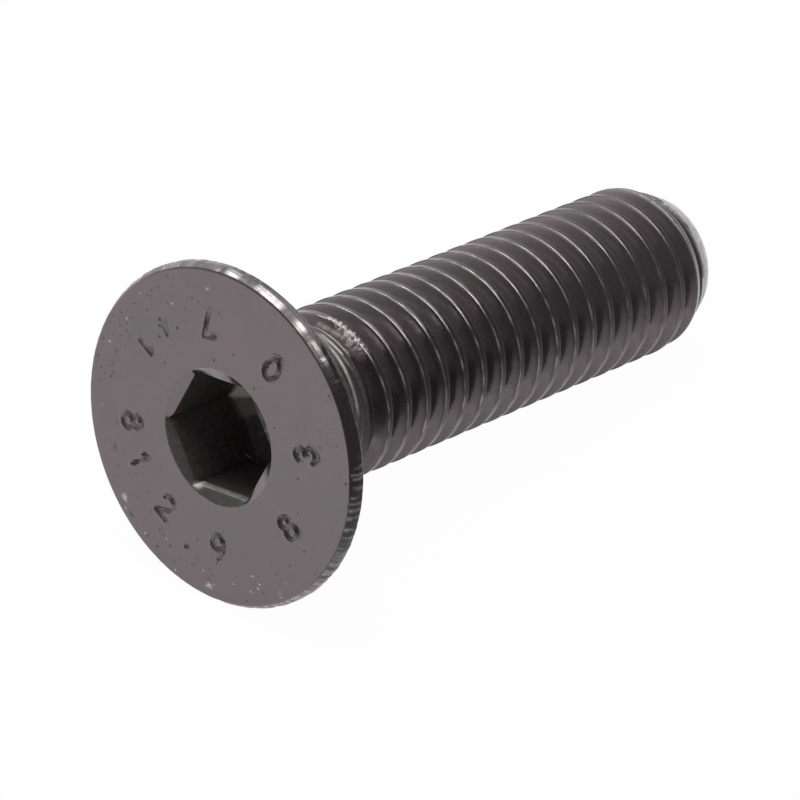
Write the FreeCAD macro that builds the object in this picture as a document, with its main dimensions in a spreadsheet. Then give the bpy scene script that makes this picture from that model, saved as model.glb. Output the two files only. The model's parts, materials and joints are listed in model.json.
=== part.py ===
"""Countersunk socket screw, M8 x 1.25, nominal length 30 mm, lying at rest on its rim and thread.

Millimetres. The screw is built on its own axis, with the flat face of the head at Z = 0 and the
shank running down -Z. It is then laid down: the axis turns towards +X and dips to the point, so
that the rim of the head and the last crest of the thread touch Z = 0. The origin of the finished
part is the middle of its footprint, on the surface that it lies on.
"""

import FreeCAD, Part
import math
import os

import Sketcher
from FreeCAD import Placement, Rotation, Vector

NODE = "countersunk_screw"

# Driving dimensions: lengths in mm, angles in degrees, depths measured from the face of the head.
SIZES = {
    "screw_length": 29.7,      # face of the head to the point, 30 less its tolerance
    "head_width": 15.44,       # across the cylindrical edge of the head
    "head_land": 0.64,         # height of that edge
    "face_width": 15.1,        # across the flat face, inside its broken edge
    "edge_break": 0.3,         # height of the break between the face and the edge
    "cone_angle": 90.0,        # included angle of the countersunk cone
    "neck_width": 7.16,        # plain neck between the cone and the thread
    "neck_round": 0.6,         # fillet between the cone and the neck
    "thread_width": 7.8,       # across the crests
    "thread_pitch": 1.25,
    "thread_angle": 60.0,      # included angle of the groove
    "crest_flat": 0.3,         # width of the flat on a crest
    "thread_start": 4.573,     # depth of the groove's middle where it starts, on the upper side
    "rise_start": 5.35,        # depth where the crests begin to rise out of the neck
    "rise_length": 1.2,        # length over which they reach their full height
    "fade_start": 5.7,         # depth where the floor of the groove begins to sink
    "fade_length": 1.5,        # length over which it reaches its full depth
    "point_width": 5.96,       # flat end of the shank
    "point_angle": 25.0,       # chamfer of the end, from the axis
    "socket_flats": 5.14,      # hexagon socket, across flats
    "socket_depth": 3.95,      # face to the foot of the socket's walls, at the corners
    "socket_floor_angle": 140.0,
    "socket_turn": 36.1,       # a corner of the hexagon, from the upper side
    "mouth_width": 6.16,       # chamfer round the mouth of the socket
    "mouth_angle": 120.0,
}
OVERLAP = 0.3                  # how far a cutter or a filler runs past the surface it meets
NECK_CORNER = 4                # the point of the head's section where its cone meets the neck


def cell(name: str) -> str:
    """The expression for one cell of the sheet."""
    return f"<<Sizes>>.{name}"


# Lengths worked out from the driving dimensions, as expressions.
HEAD_RADIUS = f"({cell('head_width')} / 2)"
NECK_RADIUS = f"({cell('neck_width')} / 2)"
CREST_RADIUS = f"({cell('thread_width')} / 2)"
POINT_RADIUS = f"({cell('point_width')} / 2)"
MOUTH_RADIUS = f"({cell('mouth_width')} / 2)"
FACE_RADIUS = f"({cell('face_width')} / 2)"
CORNER_RADIUS = f"({cell('socket_flats')} / 2 / cos(30))"
CONE_RUN = f"(({HEAD_RADIUS} - {NECK_RADIUS}) / tan({cell('cone_angle')} / 2))"
CONE_END = f"({cell('head_land')} + {CONE_RUN})"
GROOVE_HALF = f"(({cell('thread_pitch')} - {cell('crest_flat')}) / 2)"
GROOVE_SLOPE = f"tan({cell('thread_angle')} / 2)"
ROOT_RADIUS = f"({CREST_RADIUS} - {GROOVE_HALF} / {GROOVE_SLOPE})"
POINT_RUN = f"(({CREST_RADIUS} - {POINT_RADIUS}) / tan({cell('point_angle')}))"
POINT_START = f"({cell('screw_length')} - {POINT_RUN})"
FLOOR_DROP = f"({CORNER_RADIUS} / tan({cell('socket_floor_angle')} / 2))"
FLOOR_DEPTH = f"({cell('socket_depth')} + {FLOOR_DROP})"

# How the screw lies: it touches with the lower rim of the head and with the last crest below.
LAST_TURN = (f"floor(({POINT_START} - {cell('thread_start')} + {cell('crest_flat')} / 2)"
             f" / {cell('thread_pitch')})")
LAST_CREST = (f"min({POINT_START}; {cell('thread_start')} + {LAST_TURN} * {cell('thread_pitch')}"
              f" + {cell('crest_flat')} / 2)")
REST_TILT = (f"atan(({HEAD_RADIUS} - {CREST_RADIUS})"
             f" / ({LAST_CREST} - {cell('head_land')}))")
LEFT_END = f"(-{FACE_RADIUS} * sin({REST_TILT}))"
RIGHT_END = f"({cell('screw_length')} * cos({REST_TILT}) + {POINT_RADIUS} * sin({REST_TILT}))"
FACE_X = f"-({LEFT_END} + {RIGHT_END}) / 2"
FACE_Z = f"{cell('head_land')} * sin({REST_TILT}) + {HEAD_RADIUS} * cos({REST_TILT})"


def make_sheet(doc):
    """The sheet of driving dimensions, one cell for each."""
    sheet = doc.addObject("Spreadsheet::Sheet", "Sizes")
    sheet.Label = "Sizes"
    for row, (name, value) in enumerate(SIZES.items(), start=1):
        sheet.set(f"A{row}", name)
        sheet.set(f"B{row}", str(value))
        sheet.setAlias(f"B{row}", name)
    doc.recompute()
    return sheet


def new_sketch(body, name: str, role: str):
    """An empty sketch on one of the body's own origin planes."""
    sketch = body.newObject("Sketcher::SketchObject", name)
    plane = next(item for item in body.Origin.OriginFeatures if item.Role == role)
    sketch.AttachmentSupport = [(plane, "")]
    sketch.MapMode = "FlatFace"
    return sketch


def number(sketch, expression: str) -> float:
    """The present value of an expression, as a plain number."""
    value = sketch.evalExpression(expression)
    return float(getattr(value, "Value", value))


def bind(sketch, constraint, name: str, expression: str):
    """Adds a named dimension to a sketch and ties it to its expression."""
    index = sketch.addConstraint(constraint)
    sketch.renameConstraint(index, name)
    sketch.setExpression(f"Constraints.{name}", expression)


def half_section(body, name: str, points, rounds=()):
    """A closed outline of straight lines in the plane of the axis, with the named corners rounded.

    Each point is a pair of expressions: its radius, and its depth under the face of the head.
    Each round is the number of a point and the expression for its fillet radius.
    """
    sketch = new_sketch(body, name, "XZ_Plane")
    places = [Vector(number(sketch, radius), -number(sketch, depth), 0) for radius, depth in points]
    for start, end in zip(places, places[1:] + places[:1]):
        sketch.addGeometry(Part.LineSegment(start, end), False)
    for line in range(len(points)):
        sketch.addConstraint(Sketcher.Constraint("Coincident", line, 2, (line + 1) % len(points), 1))
    for line, (radius, depth) in enumerate(points):
        if radius == "0":
            sketch.addConstraint(Sketcher.Constraint("PointOnObject", line, 1, -2))
        else:
            away = Sketcher.Constraint("DistanceX", -1, 1, line, 1, places[line].x)
            bind(sketch, away, f"radius_{line}", radius)
        if depth == "0":
            sketch.addConstraint(Sketcher.Constraint("PointOnObject", line, 1, -1))
        else:
            below = Sketcher.Constraint("DistanceY", line, 1, -1, 1, -places[line].y)
            bind(sketch, below, f"depth_{line}", depth)
    for corner, size in rounds:
        radius = number(sketch, size)
        sketch.fillet(corner, 1, radius, True, True)
        arc = next(index for index, item in enumerate(sketch.Geometry)
                   if isinstance(item, Part.ArcOfCircle) and abs(item.Radius - radius) < 1e-6)
        bind(sketch, Sketcher.Constraint("Radius", arc, radius), f"round_{corner}", size)
    return sketch


def turn(body, kind: str, name: str, sketch):
    """A full turn of a half section about the screw's axis, added to the body or cut from it."""
    feature = body.newObject(f"PartDesign::{kind}", name)
    feature.Profile = sketch
    feature.ReferenceAxis = (sketch, ["V_Axis"])
    feature.Angle = 360
    body.Document.recompute()
    return feature


def add_shank(body):
    """The rod that carries the thread: it grows out of the neck and ends in a chamfered point."""
    hidden = f"({CONE_END} - {OVERLAP})"
    core = f"({NECK_RADIUS} - {OVERLAP})"
    rise_end = f"({cell('rise_start')} + {cell('rise_length')})"
    sketch = half_section(body, "ShankSection", [
        ("0", hidden),
        (core, hidden),
        (core, cell("rise_start") + f" - {OVERLAP}"),
        (NECK_RADIUS, cell("rise_start")),
        (CREST_RADIUS, rise_end),
        (CREST_RADIUS, POINT_START),
        (POINT_RADIUS, cell("screw_length")),
        ("0", cell("screw_length")),
    ])
    return turn(body, "Revolution", "Shank", sketch)


def cut_thread(body):
    """The right-hand groove, cut from under the head until it leaves the rod at the point."""
    outer = f"({CREST_RADIUS} + {OVERLAP})"
    half = f"(({outer} - {ROOT_RADIUS}) * {GROOVE_SLOPE})"
    sketch = half_section(body, "GrooveSection", [
        (ROOT_RADIUS, cell("thread_start")),
        (outer, f"{cell('thread_start')} - {half}"),
        (outer, f"{cell('thread_start')} + {half}"),
    ])
    thread = body.newObject("PartDesign::SubtractiveHelix", "Thread")
    thread.Profile = sketch
    thread.ReferenceAxis = (sketch, ["V_Axis"])
    thread.Mode = "pitch-height-angle"
    thread.setExpression("Pitch", cell("thread_pitch"))
    thread.setExpression("Height", f"{cell('screw_length')} - {cell('thread_start')}"
                                   f" + {cell('thread_pitch')}")
    thread.Angle = 0
    thread.LeftHanded = False
    thread.Reversed = True
    body.Document.recompute()
    return thread


def add_head(body):
    """Head, neck and the cone in which the groove fades, as one turned form."""
    fade_end = f"({cell('fade_start')} + {cell('fade_length')})"
    buried = f"({ROOT_RADIUS} - {OVERLAP})"
    sketch = half_section(body, "HeadSection", [
        ("0", "0"),
        (FACE_RADIUS, "0"),
        (HEAD_RADIUS, cell("edge_break")),
        (HEAD_RADIUS, cell("head_land")),
        (NECK_RADIUS, CONE_END),
        (NECK_RADIUS, cell("fade_start")),
        (buried, fade_end),
        ("0", fade_end),
    ], rounds=[(NECK_CORNER, cell("neck_round"))])
    return turn(body, "Revolution", "Head", sketch)


def cut_socket(body):
    """The hexagon socket with straight walls, down to the lowest point of its floor."""
    sketch = new_sketch(body, "SocketSection", "XY_Plane")
    corner = number(sketch, CORNER_RADIUS)
    turned = math.radians(number(sketch, cell("socket_turn")))
    places = [Vector(corner * math.cos(turned + side * math.pi / 3),
                     corner * math.sin(turned + side * math.pi / 3), 0) for side in range(6)]
    for start, end in zip(places, places[1:] + places[:1]):
        sketch.addGeometry(Part.LineSegment(start, end), False)
    ring = sketch.addGeometry(Part.Circle(Vector(0, 0, 0), Vector(0, 0, 1), corner), True)
    sketch.addConstraint(Sketcher.Constraint("Coincident", ring, 3, -1, 1))
    for side in range(6):
        sketch.addConstraint(Sketcher.Constraint("Coincident", side, 2, (side + 1) % 6, 1))
        sketch.addConstraint(Sketcher.Constraint("PointOnObject", side, 1, ring))
    for side in range(1, 6):
        sketch.addConstraint(Sketcher.Constraint("Equal", 0, side))
    bind(sketch, Sketcher.Constraint("Radius", ring, corner), "corner_radius", CORNER_RADIUS)
    first_side = math.pi * 2 / 3 + turned
    lean = Sketcher.Constraint("Angle", 0, first_side)
    bind(sketch, lean, "side_angle", f"120 + {cell('socket_turn')}")
    pocket = body.newObject("PartDesign::Pocket", "Socket")
    pocket.Profile = sketch
    pocket.Type = "Length"
    pocket.setExpression("Length", FLOOR_DEPTH)
    body.Document.recompute()
    return pocket


def add_socket_floor(body):
    """Metal under the socket's floor, which leaves a shallow cone that the walls run down to."""
    rim = f"({CORNER_RADIUS} + {OVERLAP} / 2)"
    rim_depth = f"({cell('socket_depth')} - {OVERLAP} / 2 / tan({cell('socket_floor_angle')} / 2))"
    under = f"({FLOOR_DEPTH} + {OVERLAP})"
    sketch = half_section(body, "FloorSection", [
        ("0", FLOOR_DEPTH),
        (rim, rim_depth),
        (rim, under),
        ("0", under),
    ])
    return turn(body, "Revolution", "SocketFloor", sketch)


def cut_socket_mouth(body):
    """The lead-in cone, which leaves a crescent above each wall of the socket."""
    apex = f"({MOUTH_RADIUS} / tan({cell('mouth_angle')} / 2))"
    sketch = half_section(body, "MouthSection", [
        ("0", "0"),
        (MOUTH_RADIUS, "0"),
        ("0", apex),
    ])
    return turn(body, "Groove", "SocketMouth", sketch)


def lay_down(body):
    """Turns the axis towards +X and seats the rim and the last crest on Z = 0."""
    body.Placement = Placement(Vector(0, 0, 0), Rotation(Vector(0, 1, 0), -90))
    body.setExpression("Placement.Rotation.Angle", f"{REST_TILT} - 90 deg")
    body.setExpression("Placement.Base.x", FACE_X)
    body.setExpression("Placement.Base.z", FACE_Z)
    body.Document.recompute()


def require(condition: bool, message: str):
    """Stops the build with a plain message where something isn't as it should be."""
    if not condition:
        raise RuntimeError(message)


def check_steps(body, steps):
    """Each step has to change the volume in the direction that its name says."""
    before = 0.0
    for feature, grows in steps:
        now = feature.Shape.Volume
        require(now > before if grows else now < before, f"{feature.Name} has no effect")
        before = now


def main():
    doc = FreeCAD.newDocument("CountersunkScrew")
    make_sheet(doc)
    body = doc.addObject("PartDesign::Body", "Screw")
    body.Label = NODE
    steps = [
        (add_shank(body), True),
        (cut_thread(body), False),
        (add_head(body), True),
        (cut_socket(body), False),
        (add_socket_floor(body), True),
        (cut_socket_mouth(body), False),
    ]
    lay_down(body)
    for item in doc.Objects:
        bad = [state for state in item.State if state in ("Invalid", "Error")]
        require(not bad, f"{item.Name} failed: {bad}")
    check_steps(body, steps)
    shape = body.Shape
    require(not shape.isNull() and shape.isValid(), "the screw's shape isn't valid")
    require(len(shape.Solids) == 1, "the screw isn't one solid")
    os.makedirs("parts", exist_ok=True)
    shape.exportStep(f"parts/{NODE}.step")
    print(f"{NODE}: {shape.Volume:.2f} mm3, box {shape.BoundBox}")


main()
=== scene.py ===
"""Looks of a countersunk socket screw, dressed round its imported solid.

The screw is modelled in millimetres on its own axis: the flat face of the head is at z = 0, the
shank runs down -z, +x is the upper side and +y the far side of the screw at rest. A depth is
measured down from the face. When all is shaped, the mesh is laid down where the solid lies.
"""

import json
import logging
import math
from collections.abc import Callable
from dataclasses import dataclass, field, replace
from enum import Enum

import bpy
import numpy as np
from mathutils import Matrix, Vector

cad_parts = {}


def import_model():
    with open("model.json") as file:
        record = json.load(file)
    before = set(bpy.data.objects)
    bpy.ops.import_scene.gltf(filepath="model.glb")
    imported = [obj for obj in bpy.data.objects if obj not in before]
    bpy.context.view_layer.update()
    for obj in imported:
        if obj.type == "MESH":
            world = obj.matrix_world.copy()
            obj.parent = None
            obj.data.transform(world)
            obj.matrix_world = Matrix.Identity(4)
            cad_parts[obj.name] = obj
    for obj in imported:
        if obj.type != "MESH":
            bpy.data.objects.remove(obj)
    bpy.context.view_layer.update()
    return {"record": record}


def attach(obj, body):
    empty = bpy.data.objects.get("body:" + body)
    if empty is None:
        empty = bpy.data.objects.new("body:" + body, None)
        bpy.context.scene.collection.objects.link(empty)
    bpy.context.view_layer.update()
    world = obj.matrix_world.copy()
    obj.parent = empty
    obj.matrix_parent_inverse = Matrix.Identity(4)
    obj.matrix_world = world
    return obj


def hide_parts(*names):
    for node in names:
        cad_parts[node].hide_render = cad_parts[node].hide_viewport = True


LOG = logging.getLogger("countersunk_screw")
NODE = "countersunk_screw"
SLOT = "black_oxide_steel"
BODY = "root"
MM = 0.001
FULL_TURN = 2 * math.pi
MERGE_DISTANCE = 0.002
SHORTEST_EDGE = 0.0005


class Wear(Enum):
    """Vertex values that the materials read, by the name of their attribute."""

    # worn metal, and painted highlights and reflections
    BARE = "bare_metal"
    # soiling, and painted shade in the socket, the thread's grooves and the rim's gaps
    GRIME = "grime"
    # dust and raw steel, and painted light
    DUST = "pale_dust"
    FLECK = "flecks"
    TORN = "torn_flakes"
    TONE = "tone"


class Side(Enum):
    """Sides of the hexagon, in sixths of a turn from the upper one towards the near side."""

    UPPER = 0
    NEAR_UPPER = 1
    NEAR_LOWER = 2
    LOWER = 3
    FAR_LOWER = 4


class Zone(Enum):
    """Parts of the socket that its rings belong to."""

    EDGE = "edge"
    LIP = "lip"
    WALL = "wall"
    FLOOR = "floor"


@dataclass(frozen=True)
class ScrewSizes:
    """Sizes of the screw, in millimetres and degrees; depths are measured from the face."""

    length: float = 29.7
    head_radius: float = 7.72
    face_radius: float = 7.55
    land: float = 0.64
    neck_radius: float = 3.58
    neck_round: float = 0.6
    crest_radius: float = 3.9
    root_radius: float = 3.205
    root_round: float = 0.18
    pitch: float = 1.25
    crest_flat: float = 0.24
    crest_round: float = 0.055
    crest_depth: float = 0.1985
    rise_start: float = 5.35
    rise_length: float = 1.2
    fade_start: float = 5.7
    fade_length: float = 1.5
    fade_drop: float = 0.803
    point_radius: float = 2.98
    point_angle: float = 25.0
    socket_flats: float = 5.14
    socket_depth: float = 3.95
    socket_floor: float = 70.0
    socket_turn: float = 36.1
    corner_relief: float = 0.06
    mouth_radius: float = 3.08
    mouth_depth: float = 0.25
    columns: int = 168

    @property
    def point_start(self) -> float:
        """Depth where the chamfer of the point begins."""
        run = (self.crest_radius - self.point_radius) / math.tan(math.radians(self.point_angle))
        return self.length - run

    def chamfer(self, depth: np.ndarray | float) -> np.ndarray | float:
        """Radius of the point's chamfer at a depth."""
        slope = math.tan(math.radians(self.point_angle))
        return self.crest_radius - (depth - self.point_start) * slope

    def rise(self, depth: np.ndarray) -> np.ndarray:
        """How far the crests have risen out of the neck at a depth, from 0 to 1."""
        return smooth_step((depth - self.rise_start) / self.rise_length)

    def from_side(self, turned: np.ndarray, side: Side) -> np.ndarray:
        """Degrees from the middle of one side of the hexagon, for each angle in degrees."""
        middle = self.socket_turn - 30 - 60 * side.value
        return np.mod(turned - middle + 180, 360) - 180


@dataclass(frozen=True)
class Waves:
    """A smooth unevenness round the axis, of about unit size, summed from seeded waves.

    Attributes:
        seed: Seed of the pattern.
        count: How many waves are summed.
        turns: Highest number of waves in one turn.
        per_mm: Highest number of radians in one millimetre.
    """

    seed: int
    count: int
    turns: int
    per_mm: float

    def at(self, angle: np.ndarray, along: np.ndarray) -> np.ndarray:
        """The unevenness at each angle, in radians, and place along the axis."""
        rng = np.random.default_rng(self.seed)
        total = np.zeros_like(angle)
        for _ in range(self.count):
            round_axis, phase = rng.integers(1, self.turns), rng.uniform(0, FULL_TURN)
            lean = rng.uniform(-self.per_mm, self.per_mm)
            total += np.sin(round_axis * angle + lean * along + phase)
        return total / math.sqrt(self.count / 2)


def smooth_min(a: np.ndarray, b: np.ndarray, blend: float) -> np.ndarray:
    """The lesser of two values, with the change from one to the other rounded over blend."""
    overlap = np.maximum(blend - np.abs(a - b), 0) / blend
    return np.minimum(a, b) - overlap * overlap * blend / 4


def smooth_step(value: np.ndarray) -> np.ndarray:
    """Goes from 0 to 1 with level ends as value goes from 0 to 1."""
    clipped = np.clip(value, 0, 1)
    return clipped * clipped * (3 - 2 * clipped)


def ramp(value: np.ndarray, first: float | np.ndarray, last: float | np.ndarray) -> np.ndarray:
    """Goes from 0 to 1 with level ends as value goes from first to last."""
    return smooth_step((value - first) / (last - first))


def bell(value: np.ndarray, width: float) -> np.ndarray:
    """1 where value is 0, fading on both sides over about the width."""
    return np.exp(-(value / width) ** 2)


def strongest(*values: np.ndarray) -> np.ndarray:
    """The greatest of several values at each place."""
    return np.maximum.reduce(values)


def between(first: tuple[float, float], last: tuple[float, float],
            share: float) -> tuple[float, float]:
    """The point at a share of the way from one point to another."""
    return first[0] + (last[0] - first[0]) * share, first[1] + (last[1] - first[1]) * share


@dataclass(frozen=True)
class Spots:
    """Places round the axis: angle in radians and in degrees, radius and depth."""

    angle: np.ndarray
    turned: np.ndarray
    radius: np.ndarray
    depth: np.ndarray

    @classmethod
    def of(cls, places: np.ndarray) -> "Spots":
        """The spots at rows of x, y and z."""
        angle = np.arctan2(places[:, 1], places[:, 0])
        return cls(angle, np.degrees(angle), np.hypot(places[:, 0], places[:, 1]),
                   -places[:, 2])

    def rows(self, radius: np.ndarray) -> np.ndarray:
        """Rows of x, y and z of the same spots at another radius."""
        return np.column_stack([radius * np.cos(self.angle), radius * np.sin(self.angle),
                                -self.depth])


class Bench:
    """Small steps of modelling by hand that every sub-assembly uses."""

    @staticmethod
    def clear() -> None:
        """Leaves nothing selected, so that an operator acts on the new piece alone."""
        if bpy.context.mode != "OBJECT":
            bpy.ops.object.mode_set(mode="OBJECT")
        bpy.ops.object.select_all(action="DESELECT")

    @staticmethod
    def activate(piece: bpy.types.Object) -> None:
        """Selects a piece alone and makes it the active one."""
        Bench.clear()
        piece.select_set(True)
        bpy.context.view_layer.objects.active = piece

    @staticmethod
    def edit(piece: bpy.types.Object, kind: str = "VERT") -> None:
        """Opens a piece in edit mode with one kind of element shown for selection."""
        Bench.activate(piece)
        bpy.ops.object.mode_set(mode="EDIT")
        bpy.ops.mesh.select_mode(type=kind)

    @staticmethod
    def choose(piece: bpy.types.Object, chosen: np.ndarray) -> None:
        """Opens a piece in edit mode with only the chosen faces selected."""
        Bench.activate(piece)
        mesh = piece.data
        for elements in (mesh.vertices, mesh.edges):
            elements.foreach_set("select", np.zeros(len(elements), bool))
        mesh.polygons.foreach_set("select", chosen)
        bpy.context.tool_settings.mesh_select_mode = (False, False, True)
        bpy.ops.object.mode_set(mode="EDIT")

    @staticmethod
    def rows(elements: bpy.types.bpy_prop_collection, name: str) -> np.ndarray:
        """A place of each element of a mesh, as rows of x, y and z."""
        flat = np.empty(len(elements) * 3, np.float32)
        elements.foreach_get(name, flat)
        return flat.reshape(-1, 3).astype(float)

    @staticmethod
    def places(piece: bpy.types.Object) -> np.ndarray:
        """The vertices of a piece as rows of x, y and z."""
        return Bench.rows(piece.data.vertices, "co")

    @staticmethod
    def put(piece: bpy.types.Object, places: np.ndarray) -> None:
        """Moves the vertices of a piece to the given rows."""
        piece.data.vertices.foreach_set("co", places.astype(np.float32).ravel())
        piece.data.update()

    @staticmethod
    def face_centres(piece: bpy.types.Object) -> np.ndarray:
        """The middle of each face of a piece."""
        return Bench.rows(piece.data.polygons, "center")

    @staticmethod
    def refine(piece: bpy.types.Object, chosen: np.ndarray, cuts: int) -> None:
        """Subdivides the chosen faces of a piece.

        Args:
            piece: The mesh to refine.
            chosen: One truth value for each face.
            cuts: How many cuts each edge of those faces gets.
        """
        Bench.choose(piece, chosen)
        bpy.ops.mesh.subdivide(number_cuts=cuts)
        bpy.ops.object.mode_set(mode="OBJECT")

    @staticmethod
    def join(pieces: list[bpy.types.Object], name: str) -> bpy.types.Object:
        """Joins pieces into one mesh whose shared rings are merged and whose faces look outwards.

        Args:
            pieces: The meshes to join.
            name: Name of the joined object and of its mesh.

        Returns:
            The joined object.
        """
        Bench.clear()
        for piece in pieces:
            piece.select_set(True)
        bpy.context.view_layer.objects.active = pieces[0]
        bpy.ops.object.join()
        whole = bpy.context.view_layer.objects.active
        whole.name = whole.data.name = name
        Bench.edit(whole)
        bpy.ops.mesh.select_all(action="SELECT")
        bpy.ops.mesh.remove_doubles(threshold=MERGE_DISTANCE)
        bpy.ops.mesh.dissolve_degenerate(threshold=SHORTEST_EDGE)
        bpy.ops.mesh.select_all(action="SELECT")
        bpy.ops.mesh.normals_make_consistent(inside=False)
        bpy.ops.object.mode_set(mode="OBJECT")
        return whole

    @staticmethod
    def mask(piece: bpy.types.Object, wear: Wear, values: np.ndarray) -> None:
        """Stores one of the wear masks on a piece, one value for each vertex."""
        layer = piece.data.attributes.new(wear.value, "FLOAT", "POINT")
        layer.data.foreach_set("value", np.clip(values, 0, 1).astype(np.float32))


class RingStack:
    """A turned form that is drawn out of a circle, ring by ring, as on a lathe."""

    def __init__(self, name: str, columns: int, turn: float, start: tuple[float, float]) -> None:
        """Adds the first ring.

        Args:
            name: Name of the new object.
            columns: Number of vertices in a ring.
            turn: Angle of the first vertex from the upper side, in radians.
            start: Radius and depth of the first ring.
        """
        Bench.clear()
        self.radius, self.depth = start
        bpy.ops.mesh.primitive_circle_add(vertices=columns, radius=self.radius,
                                          location=(0, 0, -self.depth))
        self.piece = bpy.context.object
        self.piece.name = self.piece.data.name = name
        bpy.ops.object.transform_apply(location=True)
        angles = turn + FULL_TURN / columns * np.arange(columns)
        level = np.full(columns, -self.depth)
        Bench.put(self.piece, np.column_stack([self.radius * np.cos(angles),
                                               self.radius * np.sin(angles), level]))
        Bench.edit(self.piece, "EDGE")
        bpy.ops.mesh.select_all(action="SELECT")

    def draw_to(self, radius: float, depth: float) -> None:
        """Extrudes the open ring to a new radius and depth."""
        bpy.ops.mesh.extrude_region_move(
            TRANSFORM_OT_translate={"value": (0, 0, self.depth - depth)})
        if radius != self.radius:
            share = radius / self.radius
            bpy.ops.transform.resize(value=(share, share, 1), center_override=(0, 0, 0))
        self.radius, self.depth = radius, depth

    def close(self, depth: float) -> None:
        """Draws the open ring together at the axis, so that it has no hole."""
        bpy.ops.mesh.extrude_region_move(
            TRANSFORM_OT_translate={"value": (0, 0, self.depth - depth)})
        bpy.ops.mesh.merge(type="CENTER")

    def finish(self) -> bpy.types.Object:
        """Leaves edit mode and hands over the form."""
        bpy.ops.object.mode_set(mode="OBJECT")
        return self.piece


@dataclass
class HeadForm:
    """The head with its flat face, broken edge, land, countersunk cone, fillet and neck."""

    sizes: ScrewSizes
    neck_end: float
    face_rings: int = 22
    cone_rings: int = 12
    fillet_steps: int = 5
    neck_rings: int = 7

    def outline(self) -> list[tuple[float, float]]:
        """Radius and depth of each ring, from the mouth of the socket out and down to the neck."""
        s = self.sizes
        inner, outer = s.mouth_radius + 0.05, s.face_radius - 0.16
        rings = [(inner + (outer - inner) * k / self.face_rings, 0.0)
                 for k in range(self.face_rings + 1)]
        rings += [(s.face_radius - 0.09, 0.004), (s.face_radius - 0.04, 0.014),
                  (s.face_radius, 0.035), (s.face_radius + 0.03, 0.075),
                  (s.face_radius + 0.1, 0.17), (s.head_radius - 0.03, 0.262),
                  (s.head_radius - 0.006, 0.31), (s.head_radius, 0.35),
                  (s.head_radius, 0.48), (s.head_radius, s.land - 0.05),
                  (s.head_radius - 0.012, s.land - 0.008), (s.head_radius - 0.05, s.land + 0.05)]
        corner_depth = s.land + s.head_radius - s.neck_radius
        run = s.neck_round * math.tan(math.radians(22.5))
        tangent = run * math.cos(math.radians(45))
        start = (s.neck_radius + tangent, corner_depth - tangent)
        edge = rings[-1]
        rings += [between(edge, start, k / (self.cone_rings + 1))
                  for k in range(1, self.cone_rings + 1)]
        centre = (s.neck_radius + s.neck_round, corner_depth + run)
        for k in range(self.fillet_steps + 1):
            turn = math.radians(45 * (1 - k / self.fillet_steps))
            rings.append((centre[0] - s.neck_round * math.cos(turn),
                          centre[1] - s.neck_round * math.sin(turn)))
        top, end = (s.neck_radius, rings[-1][1]), (s.neck_radius, self.neck_end)
        return rings + [between(top, end, k / self.neck_rings)
                        for k in range(1, self.neck_rings + 1)]

    def build(self) -> bpy.types.Object:
        """Draws the head out of the ring round the socket's mouth."""
        s = self.sizes
        rings = self.outline()
        stack = RingStack("head", s.columns, math.radians(s.socket_turn), rings[0])
        for radius, depth in rings[1:]:
            stack.draw_to(radius, depth)
        return stack.finish()


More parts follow.
